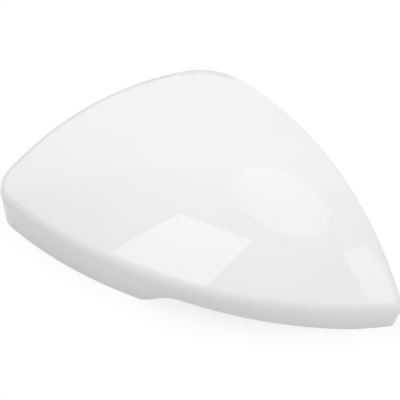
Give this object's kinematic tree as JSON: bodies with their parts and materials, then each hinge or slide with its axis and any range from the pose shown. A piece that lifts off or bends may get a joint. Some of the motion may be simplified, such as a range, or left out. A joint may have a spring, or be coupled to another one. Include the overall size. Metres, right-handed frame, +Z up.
{
  "type": "wing mirror cover",
  "caption": "Three-cornered domed cover for a car's wing mirror, open underneath, with a rolled shoulder, one crisp trimmed edge, a stepped front rim, snap hooks and locating pegs inside.",
  "frame": {"origin": "middle of the cover's bounding box, on the plane of its open rim", "axes": "+X along the long front side, from the rounded tip to the sharp corner; +Y from the front side to the back; +Z up, out of the domed outside"},
  "size_m": [0.2036, 0.1282, 0.0434],
  "materials": {
    "cover": "white gloss paint over moulded plastic"
  },
  "bodies": {
    "root": {"mirror_cover": "cover"}
  },
  "joints": []
}
